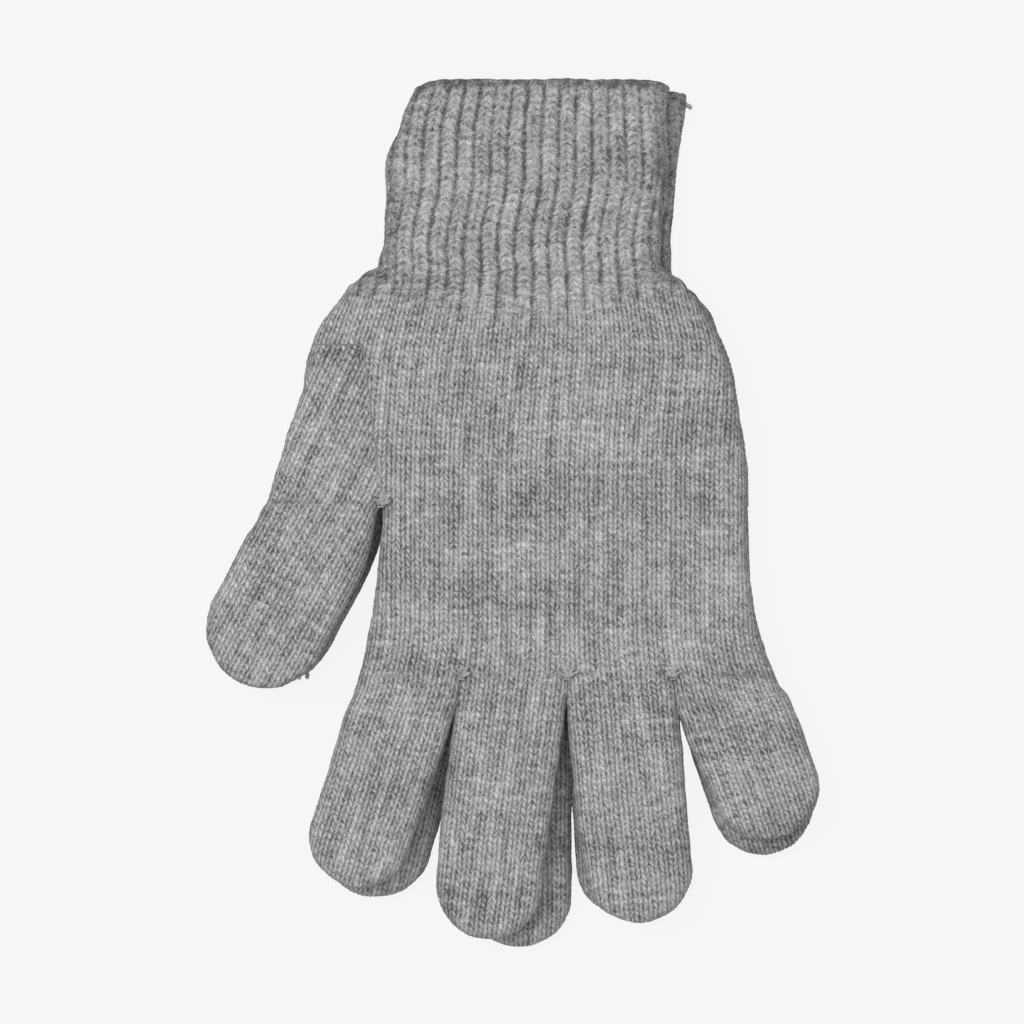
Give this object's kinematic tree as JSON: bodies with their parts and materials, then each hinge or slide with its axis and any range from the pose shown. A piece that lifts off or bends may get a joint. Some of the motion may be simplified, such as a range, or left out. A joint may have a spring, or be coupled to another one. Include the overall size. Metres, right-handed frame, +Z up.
{
  "type": "pair of knitted gloves",
  "caption": "Pair of knitted gloves lying flat one on the other, with ribbed cuffs, hollow digits and rounded fingertips.",
  "frame": {"origin": "under the middle of the pair, on the surface that it lies on", "axes": "+Y from the fingertips to the cuffs, +X from the thumb side to the little finger side, +Z up"},
  "size_m": [0.1713, 0.2434, 0.0216],
  "materials": {
    "jersey_knit": "heather grey plain knit, matt and slightly hairy",
    "rib_knit": "heather grey ribbed knit, matt",
    "yarn": "loose heather grey yarn"
  },
  "bodies": {
    "root": {"lower_hand": "jersey_knit", "lower_knuckle_band": "jersey_knit", "lower_crotch_stitches": "yarn"},
    "lower_cuff_body": {"lower_cuff_rib": "rib_knit", "lower_cuff_welt": "rib_knit", "lower_cuff_yarn_end": "yarn"},
    "lower_thumb_body": {"lower_thumb": "jersey_knit", "lower_thumb_tip": "jersey_knit", "lower_thumb_yarn_end": "yarn"},
    "lower_index_body": {"lower_index": "jersey_knit", "lower_index_tip": "jersey_knit"},
    "lower_middle_body": {"lower_middle": "jersey_knit", "lower_middle_tip": "jersey_knit"},
    "lower_ring_body": {"lower_ring": "jersey_knit", "lower_ring_tip": "jersey_knit"},
    "lower_little_body": {"lower_little": "jersey_knit", "lower_little_tip": "jersey_knit"},
    "upper_hand_body": {"upper_hand": "jersey_knit", "upper_knuckle_band": "jersey_knit", "upper_crotch_stitches": "yarn"},
    "upper_cuff_body": {"upper_cuff_rib": "rib_knit", "upper_cuff_welt": "rib_knit"},
    "upper_thumb_body": {"upper_thumb": "jersey_knit", "upper_thumb_tip": "jersey_knit", "upper_thumb_yarn_end": "yarn"},
    "upper_index_body": {"upper_index": "jersey_knit", "upper_index_tip": "jersey_knit"},
    "upper_middle_body": {"upper_middle": "jersey_knit", "upper_middle_tip": "jersey_knit"},
    "upper_ring_body": {"upper_ring": "jersey_knit", "upper_ring_tip": "jersey_knit"},
    "upper_little_body": {"upper_little": "jersey_knit", "upper_little_tip": "jersey_knit"}
  },
  "joints": [
    {"name": "upper_lift", "type": "slide", "parent": "root", "child": "upper_hand_body", "axis": [0, 0, 1], "range_m": [0, 0.06]},
    {"name": "upper_cuff_fold", "type": "hinge", "parent": "upper_hand_body", "child": "upper_cuff_body", "pos_m": [0.002, 0.0697, 0.021], "axis": [1, 0, 0], "range_deg": [0, 90]},
    {"name": "upper_thumb_fold", "type": "hinge", "parent": "upper_hand_body", "child": "upper_thumb_body", "pos_m": [-0.05275, 0.0037, 0.021], "axis": [-1, 0, 0], "range_deg": [0, 80]},
    {"name": "upper_index_fold", "type": "hinge", "parent": "upper_hand_body", "child": "upper_index_body", "pos_m": [-0.02855, -0.0448, 0.021], "axis": [-1, 0, 0], "range_deg": [0, 85]},
    {"name": "upper_middle_fold", "type": "hinge", "parent": "upper_hand_body", "child": "upper_middle_body", "pos_m": [0.00075, -0.0448, 0.021], "axis": [-1, 0, 0], "range_deg": [0, 85]},
    {"name": "upper_ring_fold", "type": "hinge", "parent": "upper_hand_body", "child": "upper_ring_body", "pos_m": [0.03005, -0.0448, 0.021], "axis": [-1, 0, 0], "range_deg": [0, 85]},
    {"name": "upper_little_fold", "type": "hinge", "parent": "upper_hand_body", "child": "upper_little_body", "pos_m": [0.05935, -0.0448, 0.021], "axis": [-1, 0, 0], "range_deg": [0, 85]},
    {"name": "lower_cuff_swing", "type": "hinge", "parent": "root", "child": "lower_cuff_body", "pos_m": [0.0448, 0.0672, 0.005], "axis": [0, 0, -1], "range_deg": [0, 4]},
    {"name": "lower_thumb_swing", "type": "hinge", "parent": "root", "child": "lower_thumb_body", "pos_m": [-0.066, 0.0012, 0.005], "axis": [0, 0, -1], "range_deg": [0, 14]},
    {"name": "lower_index_swing", "type": "hinge", "parent": "root", "child": "lower_index_body", "pos_m": [-0.0413, -0.0473, 0.005], "axis": [0, 0, -1], "range_deg": [0, 8]},
    {"name": "lower_middle_swing", "type": "hinge", "parent": "root", "child": "lower_middle_body", "pos_m": [-0.012, -0.0473, 0.005], "axis": [0, 0, -1], "range_deg": [0, 5]},
    {"name": "lower_ring_swing", "type": "hinge", "parent": "root", "child": "lower_ring_body", "pos_m": [0.0452, -0.0473, 0.005], "axis": [0, 0, 1], "range_deg": [0, 4]},
    {"name": "lower_little_swing", "type": "hinge", "parent": "root", "child": "lower_little_body", "pos_m": [0.0745, -0.0473, 0.005], "axis": [0, 0, 1], "range_deg": [0, 8]}
  ]
}
